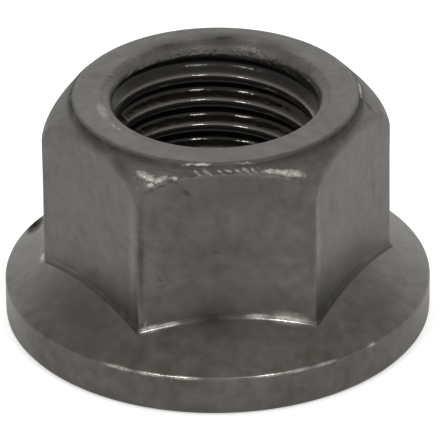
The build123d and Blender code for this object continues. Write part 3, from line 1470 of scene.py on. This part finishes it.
@dataclass(frozen=True)
class PhotoCamera:
    """The camera at the photograph's viewing angle. Angles are in degrees, lengths in metres.

    Args:
        azimuth: Where it stands round the nut, to the right of the front.
        elevation: How high it stands.
        roll: How far it is turned anticlockwise, seen from behind it.
        distance: How far it is from the point that it is aimed at.
        lens: Its focal length, in millimetres.
        sensor: Its sensor's width, in millimetres.
        aim_height: Height of a point on the nut's axis, near which it is aimed.
        aim_right: How far right of that point it is aimed.
        aim_up: How far above that point it is aimed.
        near: What is nearer isn't seen.
        far: What is farther isn't seen.
    """

    azimuth: float = -3.52
    elevation: float = 29.573
    roll: float = -0.656
    distance: float = 0.3808
    lens: float = 588.1
    sensor: float = 36.0
    aim_height: float = 0.005085
    aim_right: float = 0.00016
    aim_up: float = 0.000172
    near: float = 0.01
    far: float = 20.0

    def build(self) -> None:
        """Set the camera up."""
        back, level = direction(self.azimuth, self.elevation), direction(self.azimuth + 90.0, 0.0)
        upright = back.cross(level)
        roll = math.radians(self.roll)
        right = level * math.cos(roll) + upright * math.sin(roll)
        up = upright * math.cos(roll) - level * math.sin(roll)
        aim = Vector((0, 0, self.aim_height)) + right * self.aim_right + up * self.aim_up
        data = bpy.data.cameras.new("photo_camera")
        data.lens = self.lens
        data.sensor_width = self.sensor
        data.clip_start, data.clip_end = self.near, self.far
        camera = bpy.data.objects.new("photo_camera", data)
        turn = Matrix((right, up, back)).transposed().to_4x4()
        camera.matrix_world = Matrix.Translation(aim + back * self.distance) @ turn
        bpy.context.scene.collection.objects.link(camera)
        bpy.context.scene.camera = camera


def worn_highlight_arc(
    radius: float, height: float, start: float, end: float, pieces: int, width: float, shine: float
) -> tuple[Mark, ...]:
    """A stretch of a round edge rubbed bright and given a painted highlight, as short straight marks end to
    end.

    Args:
        radius: The edge's radius, in millimetres.
        height: The edge's height, in millimetres.
        start: Where it starts, in degrees to the right of the front.
        end: Where it ends, in degrees to the right of the front.
        pieces: How many scuffs it has.
        width: Half the scuffs' width, in millimetres.
        shine: How much of the coating is rubbed off and how bright the painted highlight is, 0 to 1.

    Returns:
        The marks.
    """
    turns = [math.radians(start + (end - start) * k / pieces) for k in range(pieces + 1)]
    ends = [(radius * math.sin(turn), -radius * math.cos(turn), height) for turn in turns]
    return tuple(Mark(first, last, width, shine) for first, last in zip(ends, ends[1:]))


RIM_EDGE = (11.25, 2.18)
# painted highlight along the rim's upper edge, broken up, partly wear
RIM_WEAR_AND_HIGHLIGHT = (
    *worn_highlight_arc(*RIM_EDGE, -36.0, -8.0, 3, 0.13, 0.9),
    *worn_highlight_arc(*RIM_EDGE, 6.0, 30.0, 3, 0.12, 0.7),
    *worn_highlight_arc(*RIM_EDGE, 41.0, 42.8, 1, 0.12, 0.8),
)
# painted highlights on the front flat's foot fillet, left and right of the middle
FOOT_HIGHLIGHT = (
    Mark((-4.50, -8.10, 3.42), (-3.60, -8.10, 3.62), 0.22, shine=1.0),
    Mark((-3.70, -8.10, 3.62), (-2.50, -8.10, 3.83), 0.15, shine=0.9),
    Mark((-4.30, -8.04, 3.45), (-4.30, -8.01, 3.80), 0.08, shine=0.9),
    Mark((0.90, -8.08, 4.05), (2.40, -8.08, 3.92), 0.16, shine=0.8),
    Mark((2.20, -8.10, 3.93), (4.25, -8.10, 3.56), 0.28, shine=1.0),
)
SLASHES = tuple(
    Mark((right, -7.62, 12.56), (right + 0.30, -7.80, 12.44), 0.12, shine=0.55)
    for right in (-1.60, -1.10, -0.45, 0.0, 0.50, 0.95, 1.35, 1.70)
)
# scuffs on the shoulder, and a painted highlight along the front flat's upper edge right of the middle
SHOULDER_SCUFFS_AND_HIGHLIGHTS = (
    Mark((-4.50, -6.88, 12.26), (-3.58, -7.64, 12.10), 0.23, shine=1.0),
    Mark((-3.66, -7.62, 12.10), (-3.10, -7.60, 12.27), 0.19, shine=0.9),
    Mark((-4.10, -7.66, 11.92), (-3.80, -7.72, 11.86), 0.15, shine=0.6),
    Mark((-2.98, -7.66, 12.29), (-2.50, -7.76, 12.29), 0.12, shine=0.85),
    # painted highlight along the front flat's upper edge
    Mark((2.00, -7.64, 12.44), (3.10, -7.62, 12.27), 0.19, shine=1.0),
    Mark((2.60, -7.66, 12.32), (4.10, -7.50, 12.05), 0.25, shine=1.0),
    Mark((-2.30, -7.28, 12.76), (-1.50, -7.38, 12.84), 0.08, shine=0.6),
    Mark((-1.60, -7.37, 12.85), (-0.72, -7.48, 12.87), 0.11, shine=1.0),
    Mark((0.25, -7.49, 12.88), (1.90, -7.43, 12.82), 0.08, shine=0.45),
    Mark((4.40, -7.55, 11.90), (4.75, -7.30, 11.95), 0.12, shine=0.25),
)
# painted highlights: faint strips beside the front corners, a line up the left corner and a spot at its foot
CORNER_HIGHLIGHT = (
    Mark((-4.92, -7.56, 11.2), (-4.96, -7.46, 4.6), 0.36, shine=0.13),
    Mark((4.85, -7.66, 10.7), (4.85, -7.66, 4.7), 0.27, shine=0.14),
    Mark((-9.22, 0.10, 3.5), (-9.22, 0.10, 6.0), 0.12, shine=0.9),
    Mark((-9.25, 0.60, 3.35), (-9.25, -0.10, 3.30), 0.22, shine=0.8),
)
RING_SCUFFS_AND_HIGHLIGHTS = (
    # painted highlight on the lip's left side
    Mark((-6.10, -0.60, 12.88), (-5.90, -2.10, 12.88), 0.30, shine=0.3),
    Mark((-5.80, -2.45, 12.90), (-5.10, -3.70, 12.88), 0.06, shine=0.5),
    # painted highlight along the ring's right edge
    Mark((7.66, 1.60, 12.60), (7.60, -0.78, 12.70), 0.15, shine=0.9),
)
STAINS = (
    Mark((7.85, -0.70, 12.46), (8.10, -1.40, 12.25), 0.22, stain=0.7),
    Mark((-2.20, -8.00, 11.60), (-1.90, -8.00, 11.38), 0.22, stain=0.9),
    Mark((-1.95, -7.85, 12.36), (-1.45, -7.75, 12.46), 0.13, stain=0.9),
    Mark((0.12, -7.84, 12.46), (0.36, -7.84, 12.46), 0.12, stain=0.8),
    Mark((-3.60, -8.00, 6.45), (-3.40, -8.00, 6.35), 0.12, stain=0.55),
    Mark((-3.50, -8.00, 6.00), (-3.20, -8.00, 5.95), 0.13, stain=0.6),
    Mark((-0.75, -8.00, 7.92), (-0.45, -8.00, 7.84), 0.12, stain=0.6),
    Mark((-3.10, -7.86, 12.10), (-2.50, -7.90, 12.14), 0.14, stain=1.0),
    Mark((7.62, -8.35, 1.85), (7.75, -8.22, 1.65), 0.20, stain=0.5),
    Mark((-4.44, -7.98, 11.3), (-4.48, -8.00, 4.5), 0.24, stain=0.7),
    Mark((-4.45, -7.86, 11.5), (-3.70, -7.92, 11.75), 0.13, stain=0.8),
    Mark((-3.70, -7.92, 11.78), (-2.90, -7.88, 12.05), 0.13, stain=0.8),
    Mark((4.40, -8.00, 10.6), (4.40, -8.00, 4.6), 0.26, stain=0.22),
    Mark((8.05, -2.10, 9.90), (8.25, -1.75, 7.20), 0.13, stain=0.4),
    Mark((7.10, -3.72, 6.60), (7.35, -3.30, 5.40), 0.12, stain=0.3),
)
# Broad soft darkenings, mostly painted shade over the front flats, the front of the flange and foot, the
# ring's front-left edge and the back of the lip, partly dirt; the last is a black stain on the flange.
SOIL_AND_SHADE = (
    Mark((-2.20, -8.10, 3.90), (0.80, -8.10, 4.00), 1.30, stain=1.0),
    Mark((-2.40, -8.00, 11.40), (2.60, -8.00, 11.40), 2.20, stain=0.36),
    Mark((-9.20, -2.40, 3.00), (-5.60, -8.60, 2.90), 2.20, stain=0.60),
    Mark((8.60, -4.60, 3.00), (7.40, -6.80, 3.00), 1.60, stain=0.4),
    Mark((-2.00, -8.00, 8.00), (2.00, -8.00, 8.00), 2.80, stain=0.22),
    Mark((-1.50, -8.70, 3.60), (1.20, -8.70, 3.60), 0.90, stain=0.7),
    Mark((-3.20, -8.00, 5.00), (3.00, -8.00, 5.00), 1.40, stain=0.4),
    Mark((5.54, -6.40, 5.00), (8.30, -1.60, 5.00), 1.80, stain=0.35),
    Mark((-6.49, -4.11, 12.64), (-5.72, -5.21, 12.56), 0.55, stain=0.8),
    Mark((-5.72, -5.21, 12.56), (-4.86, -7.20, 11.84), 0.45, stain=0.8),
    Mark((-3.60, 5.05, 12.85), (-0.80, 6.15, 12.85), 0.80, stain=0.9),
    Mark((-0.80, 6.20, 12.85), (2.40, 6.00, 12.85), 0.90, stain=1.1),
    Mark((2.40, 6.00, 12.85), (4.30, 4.40, 12.85), 0.75, stain=0.8),
    Mark((-9.60, 4.40, 2.55), (-9.30, 6.20, 2.30), 0.55, stain=3.0),
)
MARKS = SLASHES + SHOULDER_SCUFFS_AND_HIGHLIGHTS + RING_SCUFFS_AND_HIGHLIGHTS + STAINS

LAMPS = (
    Lamp("right_lamp", 25.5, 52.0, 0.40, (0.06, 0.045), 0.24),
    Lamp("left_lamp", -36.0, 52.0, 0.40, (0.06, 0.045), 0.22),
    Lamp("back_fill", 180.0, 32.0, 0.50, (0.50, 0.30), 0.7, mirrored=False),
)


def main() -> None:
    """Build the nut, its finish, the studio and the camera."""
    logging.basicConfig(level=logging.INFO, format="%(message)s")
    bpy.context.scene.view_settings.view_transform = "Standard"
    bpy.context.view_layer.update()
    low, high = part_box(NUT_NODE)
    sizes = NutSizes(flange_radius=max(high.x, high.y) / MM, height=high.z / MM)
    thread = ThreadForm(sizes)
    condition = Condition(sizes, thread, SOIL_AND_SHADE, RIM_WEAR_AND_HIGHLIGHT + FOOT_HIGHLIGHT + CORNER_HIGHLIGHT)
    skin = NutSkin(sizes, thread, condition).build()
    skin.data.materials.append(PhosphatedSteel(MARKS).material())
    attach(skin, BODY)
    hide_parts(NUT_NODE)
    LOG.info("piece %s: %d points, %d faces", skin.name, len(skin.data.vertices), len(skin.data.polygons))
    Studio(LAMPS).build((low + high) / 2)
    PhotoCamera().build()
    bpy.context.view_layer.update()


if __name__ == "__main__":
    main()
